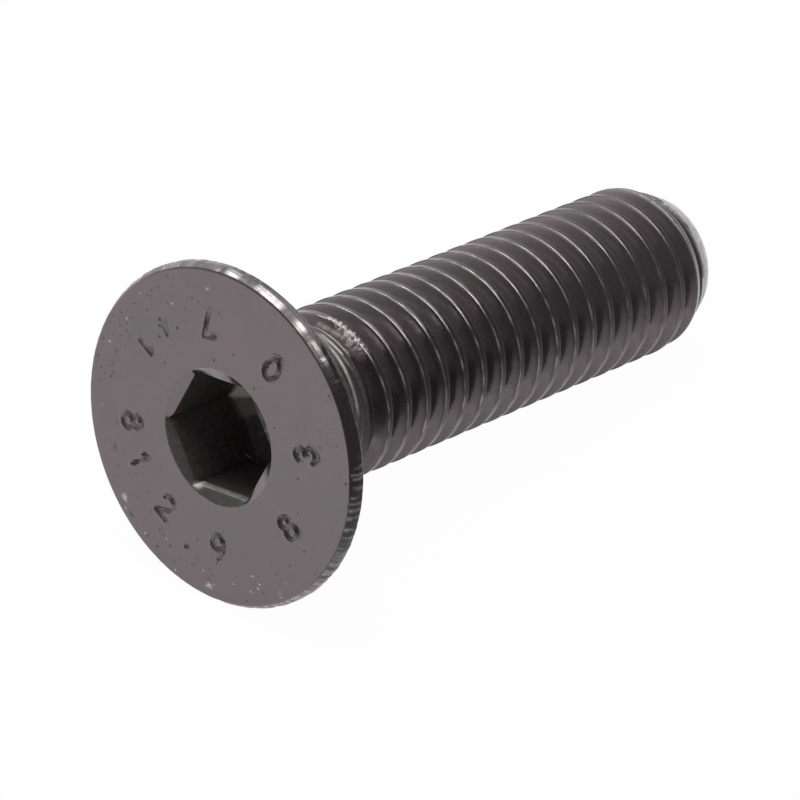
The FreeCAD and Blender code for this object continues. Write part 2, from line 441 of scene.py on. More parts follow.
@dataclass
class SocketForm:
    """The hexagon socket, from its chamfered mouth down its walls to the conical floor."""

    sizes: ScrewSizes
    wall_depths: tuple[float, ...] = (0.03, 0.12, 0.4, 0.9, 1.5, 2.1, 2.7, 3.2, 3.55)
    floor_shares: tuple[float, ...] = (0.97, 0.9, 0.82, 0.74, 0.66, 0.58, 0.5, 0.4, 0.2, 0.06)
    drawn_wall: float = 0.1
    drawn_floor: float = 1.5
    foot_gap: float = 0.05

    def corner(self) -> float:
        """Distance from the axis to a sharp corner of the hexagon."""
        return self.sizes.socket_flats / 2 / math.cos(math.radians(30))

    def floor(self, reach: np.ndarray | float) -> np.ndarray | float:
        """Depth of the conical floor at a distance from the axis."""
        slope = math.tan(math.radians(self.sizes.socket_floor))
        return self.sizes.socket_depth + (self.corner() - reach) / slope

    def wall(self, angle: np.ndarray) -> np.ndarray:
        """Distance from the axis to the wall at each angle, with its narrow corner reliefs."""
        s = self.sizes
        sixth = math.pi / 3
        from_flat = np.mod(angle - math.radians(s.socket_turn), sixth) - sixth / 2
        from_corner = np.degrees(sixth / 2 - np.abs(from_flat))
        relief = s.corner_relief * np.exp(-(from_corner / 1.2) ** 2)
        return s.socket_flats / 2 / np.cos(from_flat) + relief

    def lip(self, radius: np.ndarray, reach: np.ndarray) -> np.ndarray:
        """Depth of the mouth's bevel, which ends level along each side of the hexagon.

        Args:
            radius: Distance of each point from the axis.
            reach: Distance from the axis to the wall at the same angle.

        Returns:
            The depth of each point.
        """
        s = self.sizes
        return s.mouth_depth * (s.mouth_radius - radius) / (s.mouth_radius - reach)

    def build(self) -> bpy.types.Object:
        """Draws the socket in from the face and presses its rings to the hexagon."""
        s = self.sizes
        mouth, corner = s.mouth_radius, self.corner()
        stack = RingStack("socket", s.columns, math.radians(s.socket_turn), (mouth + 0.05, 0.0))
        rings = [(mouth + 0.02, 0.001, Zone.EDGE), (mouth - 0.005, 0.006, Zone.EDGE),
                 (mouth - 0.015, 0.012, Zone.EDGE), (corner + 0.06, 0.05, Zone.LIP),
                 (corner + 0.015, 0.07, Zone.LIP), (corner, 0.09, Zone.LIP)]
        rings += [(corner, self.drawn_wall + step, Zone.WALL) for step in self.wall_depths]
        rings += [(corner * share, s.socket_depth + self.drawn_floor - share, Zone.FLOOR)
                  for share in self.floor_shares]
        for radius, depth, _ in rings:
            stack.draw_to(radius, depth)
        stack.close(self.floor(0.0))
        piece = stack.finish()
        self.press(piece, rings)
        return piece

    def press(self, piece: bpy.types.Object, rings: list[tuple[float, float, Zone]]) -> None:
        """Moves each ring of the socket from its circle to its place on the hexagon.

        Args:
            piece: The socket as it was drawn, on round rings.
            rings: Radius and depth of each ring as it was drawn, and what it belongs to.
        """
        s = self.sizes
        places = Bench.places(piece)
        at = Spots.of(places)
        angle, wall = at.angle, self.wall(at.angle)
        for ring_radius, ring_depth, zone in rings:
            on_ring = (np.abs(at.radius - ring_radius) < 1e-4) & (
                np.abs(at.depth - ring_depth) < 1e-4)
            reach = wall[on_ring]
            if zone is Zone.WALL:
                depth = np.minimum(s.mouth_depth + ring_depth - self.drawn_wall,
                                   self.floor(reach) - self.foot_gap)
            elif zone is Zone.LIP:
                spread = np.minimum(reach + ring_radius - self.corner(), s.mouth_radius - 0.016)
                depth = self.lip(spread, reach)
                reach = spread
            elif zone is Zone.FLOOR:
                reach = reach * ring_radius / self.corner()
                depth = self.floor(reach)
            else:
                continue
            places[on_ring] = np.column_stack([reach * np.cos(angle[on_ring]),
                                               reach * np.sin(angle[on_ring]), -depth])
        Bench.put(piece, places)


@dataclass
class ThreadForm:
    """The rolled thread: one turn's outline wound along the shank, then faded and chamfered."""

    sizes: ScrewSizes
    start: float = 5.15
    stop: float = 29.6
    flank_shares: tuple[float, ...] = (0.09, 0.91)
    worn_share: float = 0.24

    def outline(self) -> list[tuple[float, float]]:
        """Place along one pitch and radius, from the middle of one crest to that of the next."""
        s = self.sizes
        slope = math.radians(30)
        half = s.crest_flat / 2
        run = s.crest_round * math.tan(slope)
        points = [(0.0, s.crest_radius)]
        for turn in (0.0, 30.0, 60.0):
            lean = math.radians(turn)
            points.append((half - run + s.crest_round * math.sin(lean),
                           s.crest_radius - s.crest_round * (1 - math.cos(lean))))
        root_centre = s.root_radius + s.root_round
        foot = (s.pitch / 2 - s.root_round * math.cos(slope),
                root_centre - s.root_round * math.sin(slope))
        shoulder = points[-1]
        points += [between(shoulder, foot, share) for share in self.flank_shares]
        for turn in (60.0, 20.0):
            lean = math.radians(turn)
            points.append((s.pitch / 2 - s.root_round * math.sin(lean),
                           root_centre - s.root_round * math.cos(lean)))
        mirrored = [(s.pitch - place, radius) for place, radius in reversed(points)]
        after_first = points.index(between(shoulder, foot, self.flank_shares[0])) + 1
        points.insert(after_first, between(shoulder, foot, self.worn_share))
        return points + mirrored

    def build(self) -> bpy.types.Object:
        """Winds the outline along the shank and closes the point."""
        s = self.sizes
        turn = math.radians(s.socket_turn)
        first = s.crest_depth - s.pitch * turn / FULL_TURN
        first += s.pitch * math.ceil((self.stop - first) / s.pitch)
        turns = math.ceil((first + s.pitch - self.start) / s.pitch) + 1
        outline = [(first + s.pitch - place, radius) for place, radius in self.outline()]
        piece = self.chain(outline, turn)
        winding = piece.modifiers.new("winding", "SCREW")
        winding.axis = "Z"
        winding.angle = FULL_TURN
        winding.screw_offset = s.pitch
        winding.iterations = turns
        winding.steps = winding.render_steps = s.columns
        winding.use_smooth_shade = False
        Bench.activate(piece)
        bpy.ops.object.modifier_apply(modifier=winding.name)
        self.fit_ends(piece)
        return piece

    @staticmethod
    def chain(outline: list[tuple[float, float]], turn: float) -> bpy.types.Object:
        """Extrudes one vertex along the outline, in the plane at an angle from the upper side.

        Args:
            outline: Depth and radius of each point.
            turn: Angle of that plane, in radians.

        Returns:
            The chain of edges.
        """
        Bench.clear()
        bpy.ops.mesh.primitive_plane_add(size=1)
        piece = bpy.context.object
        piece.name = piece.data.name = "thread"
        Bench.edit(piece)
        bpy.ops.mesh.select_all(action="SELECT")
        bpy.ops.mesh.merge(type="CENTER")
        places = [Vector((radius * math.cos(turn), radius * math.sin(turn), -depth))
                  for depth, radius in outline]
        bpy.ops.transform.translate(value=places[0])
        for here, there in zip(places, places[1:]):
            bpy.ops.mesh.extrude_region_move(TRANSFORM_OT_translate={"value": there - here})
        bpy.ops.object.mode_set(mode="OBJECT")
        Bench.put(piece, np.array([tuple(place) for place in places]))
        return piece

    def phase(self, angle: np.ndarray, depth: np.ndarray) -> np.ndarray:
        """Distance along the axis from the middle of the nearest crest."""
        s = self.sizes
        turned = np.mod(depth + s.pitch * angle / FULL_TURN - s.crest_depth + s.pitch / 2, s.pitch)
        return turned - s.pitch / 2

    def blank(self, depth: np.ndarray) -> np.ndarray:
        """Radius that the crests reach at a depth, from the neck's to the point's."""
        s = self.sizes
        shank = s.neck_radius + (s.crest_radius - s.neck_radius) * s.rise(depth)
        return smooth_min(shank, s.chamfer(depth), 0.12)

    def floor(self, depth: np.ndarray) -> np.ndarray:
        """Radius of the neck, which sinks under the groove where the thread begins."""
        s = self.sizes
        return s.neck_radius - s.fade_drop * np.clip(
            (depth - s.fade_start) / s.fade_length, 0, 1.2)

    def fit_ends(self, piece: bpy.types.Object) -> None:
        """Fades the groove into the neck, cuts the crests to the chamfer and squares the ends."""
        at = Spots.of(Bench.places(piece))
        depth = np.clip(at.depth, self.start, self.stop)
        radius = smooth_min(at.radius, self.blank(depth), 0.05)
        radius = -smooth_min(-radius, -self.floor(depth), 0.05)
        flat_start = smooth_step((depth - self.start) / 0.25)
        radius = self.sizes.neck_radius + (radius - self.sizes.neck_radius) * flat_start
        Bench.put(piece, replace(at, depth=depth).rows(radius))
        Bench.edit(piece)
        bpy.ops.mesh.select_all(action="SELECT")
        bpy.ops.mesh.remove_doubles(threshold=MERGE_DISTANCE)
        bpy.ops.object.mode_set(mode="OBJECT")


@dataclass
class PointForm:
    """The flat end of the shank inside its chamfer, slightly dished where it was sheared."""

    sizes: ScrewSizes
    start: float

    def build(self) -> bpy.types.Object:
        """Draws the end in from the last ring of the thread."""
        s = self.sizes
        first = (s.chamfer(self.start), self.start)
        stack = RingStack("point", s.columns, math.radians(s.socket_turn), first)
        rim = s.point_radius
        for radius, depth in [(rim + 0.012, s.length - 0.045), (rim - 0.02, s.length - 0.01),
                              (rim - 0.08, s.length), (rim - 0.35, s.length),
                              (rim * 0.7, s.length - 0.03), (rim * 0.45, s.length - 0.07),
                              (rim * 0.2, s.length - 0.09), (rim * 0.06, s.length - 0.095)]:
            stack.draw_to(radius, depth)
        stack.close(s.length - 0.096)
        return stack.finish()


@dataclass(frozen=True)
class Numeral:
    """A stamped numeral on the ring of figures, with its top towards the axis."""

    figure: str
    angle: float
    radius: float = 5.05
    height: float = 1.15
    width: float = 0.95
    share: float = 1.0


def ellipse(x: float, y: float, wide: float, high: float, first: float = 0.0,
            last: float = 360.0, steps: int = 14) -> list[tuple[float, float]]:
    """Points round an ellipse or a part of it.

    Args:
        x: Place of its centre across the figure.
        y: Place of its centre up the figure.
        wide: Half its width.
        high: Half its height.
        first: Angle of the first point, in degrees.
        last: Angle of the last point, in degrees.
        steps: Number of straight pieces.

    Returns:
        The points in order.
    """
    turns = [math.radians(first + (last - first) * k / steps) for k in range(steps + 1)]
    return [(x + wide * math.cos(t), y + high * math.sin(t)) for t in turns]


STROKES = {
    "0": [ellipse(0, 0.5, 0.36, 0.5)],
    "1": [[(-0.2, 0.76), (0.06, 0.97), (0.06, 0.02)]],
    "2": [ellipse(0, 0.68, 0.35, 0.3, 160, -40) + [(-0.36, 0.02), (0.38, 0.02)]],
    "3": [ellipse(0, 0.74, 0.31, 0.24, 150, -80), ellipse(0, 0.27, 0.36, 0.26, 85, -150)],
    "4": [[(0.12, 0.02), (0.12, 0.98), (-0.34, 0.3), (0.36, 0.3)]],
    "7": [[(-0.32, 0.96), (0.34, 0.96), (-0.05, 0.02)]],
    "8": [ellipse(0, 0.75, 0.28, 0.22), ellipse(0, 0.27, 0.36, 0.26)],
    "9": [ellipse(0, 0.68, 0.34, 0.29), [(0.34, 0.68), (0.3, 0.35), (0.06, 0.02)]],
    ".": [[(-0.04, 0.12), (0.04, 0.12)]],
}


@dataclass(frozen=True)
class Cluster:
    """A seeded group of small pits or specks on the face."""

    angle: float
    spread: float
    radius: float
    depth_of_ring: float
    count: int


@dataclass
class FaceMarks:
    """Numerals stamped in the face, and the small pits and bright specks round them."""

    numerals: tuple[Numeral, ...] = (
        Numeral("8", 103.3), Numeral("1", 123.0), Numeral("2", 149.5),
        Numeral(".", 168.2, radius=5.4), Numeral("9", 186.4),
        Numeral("8", 240.0), Numeral("3", 282.9), Numeral("0", 328.4),
        Numeral("7", 12.5, share=0.75), Numeral("4", 42.0, 5.3, 0.8, 0.7, 0.45),
        Numeral("1", 60.0, 5.2, 0.9, 0.8, 0.6),
    )
    pit_groups: tuple[Cluster, ...] = (
        Cluster(65, 22, 6.9, 0.45, 46), Cluster(35, 25, 6.2, 0.9, 26),
        Cluster(185, 45, 6.7, 0.6, 46), Cluster(120, 40, 6.4, 0.8, 24),
        Cluster(300, 50, 6.0, 1.2, 18), Cluster(0, 90, 5.0, 1.0, 18),
    )
    speck_groups: tuple[Cluster, ...] = (
        Cluster(178, 22, 6.8, 0.45, 9), Cluster(205, 10, 6.7, 0.4, 6),
        Cluster(140, 6, 6.9, 0.2, 3), Cluster(45, 16, 6.5, 0.5, 5), Cluster(95, 8, 7.1, 0.2, 2),
    )
    stroke: float = 0.15
    depth: float = 0.11
    lip: float = 0.032
    pit_sizes: tuple[float, float] = (0.035, 0.095)
    pit_depths: tuple[float, float] = (0.25, 0.6)
    speck_sizes: tuple[float, float] = (0.025, 0.055)
    marked_ring: tuple[float, float] = (3.5, 7.3)
    seed: int = 5
    pits: list[tuple[float, float, float, float]] = field(default_factory=list)
    specks: list[tuple[float, float, float]] = field(default_factory=list)

    def __post_init__(self) -> None:
        """Scatters the pits and the specks of each group."""
        rng = np.random.default_rng(self.seed)
        for group in self.pit_groups:
            for x, y in self.scatter(rng, group):
                size = rng.uniform(*self.pit_sizes)
                self.pits.append((x, y, size, size * rng.uniform(*self.pit_depths)))
        for group in self.speck_groups:
            for x, y in self.scatter(rng, group):
                self.specks.append((x, y, rng.uniform(*self.speck_sizes)))

    def scatter(self, rng: np.random.Generator, group: Cluster) -> list[tuple[float, float]]:
        """Places of one group, kept between the socket and the rim."""
        places = []
        for _ in range(group.count):
            angle = math.radians(group.angle + rng.normal(0, group.spread))
            radius = float(np.clip(group.radius + rng.normal(0, group.depth_of_ring),
                                   *self.marked_ring))
            places.append((radius * math.cos(angle), radius * math.sin(angle)))
        return places

    def segments(self) -> np.ndarray:
        """The straight pieces of all strokes, one row of x, y, x, y and share of depth each."""
        rows = []
        for numeral in self.numerals:
            turn = math.radians(numeral.angle)
            out = np.array([math.cos(turn), math.sin(turn)])
            on = np.array([-math.sin(turn), math.cos(turn)])
            for stroke in STROKES[numeral.figure]:
                spots = [out * (numeral.radius + (0.5 - y) * numeral.height)
                         + on * (x * numeral.width) for x, y in stroke]
                rows += [np.concatenate([*pair, [numeral.share]])
                         for pair in zip(spots, spots[1:])]
        return np.array(rows)

    def nearest(self, spots: np.ndarray) -> tuple[np.ndarray, np.ndarray]:
        """Distance from each spot on the face to the nearest stroke, and that stroke's share."""
        best, share_there = np.full(len(spots), 1e3), np.ones(len(spots))
        for x0, y0, x1, y1, deep in self.segments():
            start, run = np.array([x0, y0]), np.array([x1 - x0, y1 - y0])
            share = np.clip((spots - start) @ run / max(run @ run, 1e-9), 0, 1)
            away = np.linalg.norm(spots - start - share[:, None] * run, axis=1)
            share_there = np.where(away < best, deep, share_there)
            best = np.minimum(best, away)
        return best, share_there

    def groove(self, spots: np.ndarray) -> np.ndarray:
        """How deep the strokes are at each spot, from 0 to 1, uneven as struck by hand."""
        away, share = self.nearest(spots)
        uneven = 0.8 + 0.36 * np.sin(5.1 * spots[:, 0] + 1.3) * np.sin(6.3 * spots[:, 1] + 0.4)
        return share * uneven * (1 - smooth_step(away / self.stroke))

    def pit_floor(self, spots: np.ndarray) -> np.ndarray:
        """How deep the pits are at each spot on the face."""
        total = np.zeros(len(spots))
        for x, y, radius, depth in self.pits:
            away = np.hypot(spots[:, 0] - x, spots[:, 1] - y) / radius
            total += depth * (1 - smooth_step(away) - 0.15 * bell(away - 1.25, 0.3))
        return total

    def speck(self, spots: np.ndarray) -> np.ndarray:
        """How bright the specks are at each spot on the face, from 0 to 1."""
        total = np.zeros(len(spots))
        for x, y, radius in self.specks:
            away = np.hypot(spots[:, 0] - x, spots[:, 1] - y) / radius
            total = np.maximum(total, 1 - smooth_step(away - 0.3))
        return total

    def apply(self, piece: bpy.types.Object, sizes: ScrewSizes) -> None:
        """Refines the face near the marks and presses them in.

        Args:
            piece: The whole screw, still on its own axis.
            sizes: Its sizes.
        """
        centres = Bench.face_centres(piece)
        radius = np.hypot(centres[:, 0], centres[:, 1])
        on_face = (np.abs(centres[:, 2]) < 1e-3) & (radius > sizes.mouth_radius) & (
            radius < sizes.face_radius - 0.12)
        spots = centres[on_face][:, :2]
        near = self.nearest(spots)[0] < self.stroke + 0.1
        for x, y, size, *_ in self.pits + self.specks:
            near |= np.hypot(spots[:, 0] - x, spots[:, 1] - y) < size + 0.09
        chosen = np.zeros(len(centres), bool)
        chosen[np.flatnonzero(on_face)[near]] = True
        Bench.refine(piece, chosen, 3)
        places = Bench.places(piece)
        radius = np.hypot(places[:, 0], places[:, 1])
        inside = (np.abs(places[:, 2]) < 1e-3) & (radius > sizes.mouth_radius + 0.06) & (
            radius < sizes.face_radius - 0.15)
        spots = places[inside][:, :2]
        away, share = self.nearest(spots)
        raised = self.lip * share * bell(away - self.stroke - 0.02, 0.05)
        places[inside, 2] -= self.depth * self.groove(spots) - raised + self.pit_floor(spots)
        Bench.put(piece, places)


@dataclass(frozen=True)
class Scratch:
    """A worn line across the neck: its angles, its depth at both ends and between, its width."""

    turns: tuple[float, float]
    depths: tuple[float, float, float]
    width: float
    strength: float
    broken: float = 0.0

    def shape(self, at: Spots, seed: int) -> np.ndarray:
        """How strong the scratch is at each spot.

        Args:
            at: The spots.
            seed: Seed of its gaps.

        Returns:
            One value from 0 to 1 for each spot.
        """
        first, last = (math.radians(turn) for turn in self.turns)
        share = (at.angle - first) / (last - first)
        start, middle, end = self.depths
        bend = middle - (start + end) / 2
        centre = start + (end - start) * share + 4 * bend * share * (1 - share)
        ends = ramp(share, 0, 0.12) * ramp(share, 1, 0.85)
        gaps = 0.6 + Waves(seed, 9, 60, 3.0).at(at.angle, 3 * at.depth)
        return (self.strength * bell(at.depth - centre, self.width) * ends
                * np.clip(1 - self.broken * gaps, 0, 1))


@dataclass
class Handling:
    """What forging, rolling and handling leave: nicks, rings, worn crests, burr, scratches."""

    sizes: ScrewSizes
    thread: ThreadForm
    seed: int = 23
    nick_count: int = 110
    nick_lean: float = 0.015
    nick_widths: tuple[float, float] = (0.004, 0.012)
    nick_depths: tuple[float, float] = (0.006, 0.03)
    nick_limit: float = 0.07
    rim_roughness: float = 0.006
    rim_waves: Waves = Waves(3, 12, 70, 3.0)
    ring_depth: float = 0.007
    wide_rings: Waves = Waves(31, 7, 3, 38.0)
    fine_rings: Waves = Waves(32, 6, 4, 60.0)
    crest_loss: float = 0.007
    crest_width: float = 0.16
    crest_waves: Waves = Waves(7, 16, 34, 2.0)
    flank_roughness: float = 0.0009
    flank_waves: Waves = Waves(8, 24, 45, 20.0)
    crisp_depths: tuple[float, float] = (11.0, 21.0)
    burr_turns: tuple[float, float] = (1.0, -36.0)
    burr_depth: float = 6.46
    burr_height: float = 0.035
    burr_flakes: Waves = Waves(42, 14, 110, 26.0)
    burr_tip_edge: Waves = Waves(41, 7, 90, 1.0)
    burr_head_edge: Waves = Waves(43, 9, 90, 1.0)
    torn_depths: tuple[float, float] = (4.8, 6.9)
    scratch_depth: float = 0.015
    scratch_seed: int = 80
    scratches: tuple[Scratch, ...] = (
        Scratch((-8.0, -33.0), (5.47, 5.42, 5.48), 0.036, 0.9),
        Scratch((6.0, -37.0), (5.84, 5.75, 5.9), 0.06, 1.0, 0.15),
        Scratch((-9.0, -33.0), (5.9, 5.93, 6.05), 0.032, 0.9, 0.2),
        Scratch((5.0, -20.0), (6.1, 6.12, 6.22), 0.05, 0.45, 0.3),
        # The broad soft line: a scratch whose pale colour also paints the lamp's reflection
        # streaking down the fillet.
        Scratch((-4.0, -80.0), (5.36, 5.08, 5.0), 0.08, 0.5, 0.1),
    )
    wall_scratch_start: tuple[float, float] = (1.16, 3.56)

    def apply(self, piece: bpy.types.Object) -> None:
        """Refines the handled parts of the screw and works all of it into them."""
        self.refine(piece)
        for step in (self.nicked_rim, self.turned_neck, self.worn_crests, self.torn_start):
            at = Spots.of(Bench.places(piece))
            Bench.put(piece, at.rows(step(at)))

    def refine(self, piece: bpy.types.Object) -> None:
        """Gives the rim, the wall's scratch and the torn start of the thread finer faces."""
        s = self.sizes
        at = Spots.of(Bench.face_centres(piece))
        Bench.refine(piece, (at.radius > s.face_radius - 0.02) & (at.depth < s.land + 0.02), 2)
        at = Spots.of(Bench.face_centres(piece))
        sideways, away = self.on_wall(at)
        start = self.wall_scratch_start
        Bench.refine(piece, (np.abs(away) < 0.05) & (np.abs(sideways - start[0] - 0.15) < 0.32)
                     & (np.abs(at.depth - start[1] - 0.1) < 0.35), 5)
        at = Spots.of(Bench.face_centres(piece))
        Bench.refine(piece, (at.turned < 6) & (at.turned > -38) & (at.depth > 5.3)
                     & (at.depth < 6.7) & (at.radius > s.root_radius - 0.005), 3)

    def nicked_rim(self, at: Spots) -> np.ndarray:
        """Radius of each spot once narrow nicks cross the land and the rim is a little uneven."""
        s = self.sizes
        rng = np.random.default_rng(self.seed)
        near = (at.radius > s.face_radius - 0.3) & (at.depth < s.land + 0.25)
        on_rim = ramp(at.radius, s.face_radius - 0.05, s.face_radius + 0.1)
        inward = self.rim_roughness * (1 + self.rim_waves.at(at.angle, at.depth)) * on_rim
        for _ in range(self.nick_count):
            middle, lean = rng.uniform(-math.pi, math.pi), rng.normal(0, self.nick_lean)
            wide, deep = rng.uniform(*self.nick_widths), rng.uniform(*self.nick_depths)
            off = np.mod(at.angle - middle - lean * at.depth + math.pi, FULL_TURN) - math.pi
            inward += deep * bell(off, wide) * on_rim
        return np.where(near, at.radius - np.clip(inward, 0, self.nick_limit), at.radius)

    def turned_neck(self, at: Spots) -> np.ndarray:
        """Radius of each spot once a die has left fine rings round the neck and the fillet."""
        s = self.sizes
        there = ramp(at.depth, s.land + 3.2, s.land + 3.5) * ramp(
            at.depth, s.rise_start + 0.5, s.rise_start + 0.1) * (at.radius < s.neck_radius + 0.7)
        rings = self.wide_rings.at(0.1 * at.angle, at.depth)
        rings += 0.5 * self.fine_rings.at(at.angle, at.depth)
        return at.radius - self.ring_depth * there * (1 + rings)

    def worn_crests(self, at: Spots) -> np.ndarray:
        """Radius of each spot once the crests are unevenly worn and the flanks slightly rough."""
        s = self.sizes
        worn = s.rise(at.depth) * (at.depth < s.length - 0.15)
        worn *= 1 - 0.85 * ramp(at.depth, *self.crisp_depths)
        crest = bell(self.thread.phase(at.angle, at.depth), self.crest_width)
        uneven = np.clip(self.crest_waves.at(at.angle, at.depth * 4.1) + 0.7, 0, 2.5)
        rough = self.flank_waves.at(at.angle, at.depth)
        return at.radius - worn * (self.crest_loss * crest * uneven
                                   + self.flank_roughness * (1 - crest) * rough)

    def torn_start(self, at: Spots) -> np.ndarray:
        """Radius of each spot once the burr and the scratches mark the start of the thread."""
        change = self.burr_height * self.burr(at) - self.scratch_depth * self.scratched(at)
        return at.radius + self.torn_zone(at) * change

    def torn_zone(self, at: Spots) -> np.ndarray:
        """Which spots lie on the neck or the first crest, where burr and scratches may be."""
        s, (first, last) = self.sizes, self.torn_depths
        return (at.depth > first) & (at.depth < last) & (
            at.radius > s.neck_radius - 0.5) & (at.radius < s.crest_radius + 0.1)

    def burr(self, at: Spots) -> np.ndarray:
        """Height of the torn flakes on the first crest, from 0 to 1."""
        first, last = (math.radians(turn) for turn in self.burr_turns)
        share = (at.angle - first) / (last - first)
        bulge = bell(share - 0.6, 0.25)
        level = np.zeros_like(at.angle)
        tip_side = self.burr_depth + 0.08 + 0.05 * bulge
        tip_side += 0.04 * self.burr_tip_edge.at(at.angle, level)
        head_side = self.burr_depth - 0.12 - 0.16 * bulge
        head_side += 0.07 * self.burr_head_edge.at(at.angle, level)
        band = ramp(at.depth - head_side, 0, 0.06) * ramp(tip_side - at.depth, 0, 0.04)
        inside = ramp(share, 0, 0.1) * ramp(share, 1, 0.88)
        ragged = self.burr_flakes.at(at.angle, at.depth)
        return inside * band * np.clip(0.45 + 0.5 * bulge + 0.6 * ragged, 0, 1)

    def scratched(self, at: Spots) -> np.ndarray:
        """How strong the scratches before the first crest are, from 0 to 1."""
        return strongest(*(scratch.shape(at, self.scratch_seed + number)
                           for number, scratch in enumerate(self.scratches)))

    def on_wall(self, at: Spots) -> tuple[np.ndarray, np.ndarray]:
        """Place along the socket's wall beside the near lower corner, and distance from it."""
        off = at.angle - math.radians(self.sizes.socket_turn + 90)
        return at.radius * np.sin(off), at.radius * np.cos(off) - self.sizes.socket_flats / 2

    def wall_scratch_and_glint(self, at: Spots) -> np.ndarray:
        """How strong the short curved scratch low on that wall is, from 0 to 1; its pale colour
        also paints a bright glint.
        """
        sideways, away = self.on_wall(at)
        share = sideways - self.wall_scratch_start[0]
        centre = self.wall_scratch_start[1] + 0.3 * share + 2.3 * share * share
        ends = ramp(share, -0.03, 0.01) * ramp(share, 0.3, 0.25)
        return ends * bell(at.depth - centre, 0.03) * (np.abs(away) < 0.03)


@dataclass
class WearMasks:
    """How worn, soiled, dusty, flecked or torn the surface is, and where light and shade are
    painted: from 0 to 1 at each vertex.
    """

    piece: bpy.types.Object
    marks: FaceMarks
    handling: Handling
    # Wear of the crest edges, which also paints their highlight.
    crest_rubbing: Waves = Waves(51, 14, 30, 3.0)
    crest_bare: float = 0.38
    last_crest: float = 27.25
    late_depths: tuple[float, float] = (17.0, 25.0)
    point_border: Waves = Waves(66, 6, 12, 1.0)
    # Breaks the painted highlight on the upper rim into patches.
    rim_highlight_breaks: Waves = Waves(67, 14, 60, 1.0)
    rim_streaks: Waves = Waves(61, 20, 150, 1.5)
    rim_patches: Waves = Waves(63, 12, 60, 4.0)
    rim_sparks: Waves = Waves(64, 24, 170, 2.0)
    bright_nicks: tuple[float, ...] = (-81.0, -91.0, -96.0, -112.0, -121.0)
    bevel_patches: Waves = Waves(65, 10, 70, 3.0)
    # How light each bevel of the mouth is made: partly wear, partly a painted reflection.
    bevel_wear_and_reflection: tuple[tuple[Side, float], ...] = (
        (Side.UPPER, 0.26), (Side.NEAR_LOWER, 0.08), (Side.NEAR_UPPER, 0.5))
    # How dark the mouth's bevel is made on the lower and far lower sides.
    bevel_darkening: tuple[tuple[Side, float], ...] = ((Side.LOWER, 1.0), (Side.FAR_LOWER, 0.95))
    neck_dirt: Waves = Waves(71, 6, 4, 30.0)

    def __post_init__(self) -> None:
        """Reads where the vertices are."""
        self.sizes = self.handling.sizes
        self.places = Bench.places(self.piece)
        self.at = Spots.of(self.places)

    def store(self) -> None:
        """Stores the masks on the mesh for the finish."""
        for wear, values in ((Wear.BARE, self.bare_and_highlight()), (Wear.GRIME, self.grime()),
                             (Wear.DUST, self.dust_and_light()), (Wear.FLECK, self.flecks()),
                             (Wear.TORN, self.flakes())):
            Bench.mask(self.piece, wear, values)

    def on_face(self, shape: Callable[[np.ndarray], np.ndarray]) -> np.ndarray:
        """Values that a function of x and y gives on the flat face, and 0 elsewhere."""
        s, at = self.sizes, self.at
        there = (np.abs(at.depth) < 0.16) & (at.radius > s.mouth_radius + 0.12) & (
            at.radius < s.face_radius - 0.1)
        total = np.zeros_like(at.depth)
        total[there] = shape(self.places[there][:, :2])
        return total

    def bare_and_highlight(self) -> np.ndarray:
        """Where the oxide is worn off, and where highlights and reflections are painted in the
        light metal colour: along the crest edges, on the point's chamfer, on the rim and on the
        socket's bevels and lower edge.
        """
        s, at, torn = self.sizes, self.at, self.handling.torn_zone(self.at)
        # The point's chamfer is made light metal: partly wear, partly a painted reflection of the
        # bright grazing light on it.
        start = s.point_start + 1.0 + 0.05 * self.point_border.at(at.angle, at.depth)
        point = 2 * ramp(at.depth - start, 0, 0.15) * (
            np.abs(at.radius - s.chamfer(at.depth)) < 0.06)
        return strongest(self.crest_wear_and_highlight(), 0.2 * torn * self.handling.burr(at),
                         0.5 * torn * self.handling.scratched(at),
                         self.on_face(self.marks.speck), point, self.worn_and_highlit_rim(),
                         self.socket_edge())

    def crest_wear_and_highlight(self) -> np.ndarray:
        """How bright the head side edge of each crest is: worn metal, with a painted highlight
        along the same line.
        """
        s, at = self.sizes, self.at
        late = ramp(at.depth, *self.late_depths)
        off = np.abs(self.handling.thread.phase(at.angle, at.depth) + s.crest_flat / 2 - 0.005)
        line = 1 - ramp(off, 0.012, 0.042 + 0.02 * late)
        line *= ramp(at.depth, s.rise_start + 0.3, s.rise_start + 0.9)
        line *= (at.depth < s.length - 0.3) & (at.radius > s.root_radius + 0.25)
        worn = self.crest_bare + 0.2 * self.crest_rubbing.at(at.angle, at.depth * 3.3)
        last = 0.8 * ramp(at.depth, self.last_crest, self.last_crest + 0.2)
        return line * np.maximum(np.clip(worn, 0.12, 1) * (1 - 0.65 * late), last)

    def rim(self) -> np.ndarray:
        """Which vertices lie on the broken edge or on the land of the head."""
        s = self.sizes
        return (self.at.radius > s.face_radius - 0.03) & (self.at.depth < s.land + 0.1)

    def upper_rim_highlight(self) -> tuple[np.ndarray, np.ndarray]:
        """Where a highlight is painted on the upper part of the rim, and where painted shade
        darkens the gaps between its bright patches.
        """
        at = self.at
        upper = ramp(at.turned, 10, 2) * ramp(at.turned, -56, -34)
        upper *= self.rim() * ramp(at.depth, 0.42, 0.3)
        broken = np.clip(0.4 + 0.42 * self.rim_highlight_breaks.at(at.angle, 0.4 * at.depth), 0.05, 1)
        return upper * broken, upper * (1 - broken)

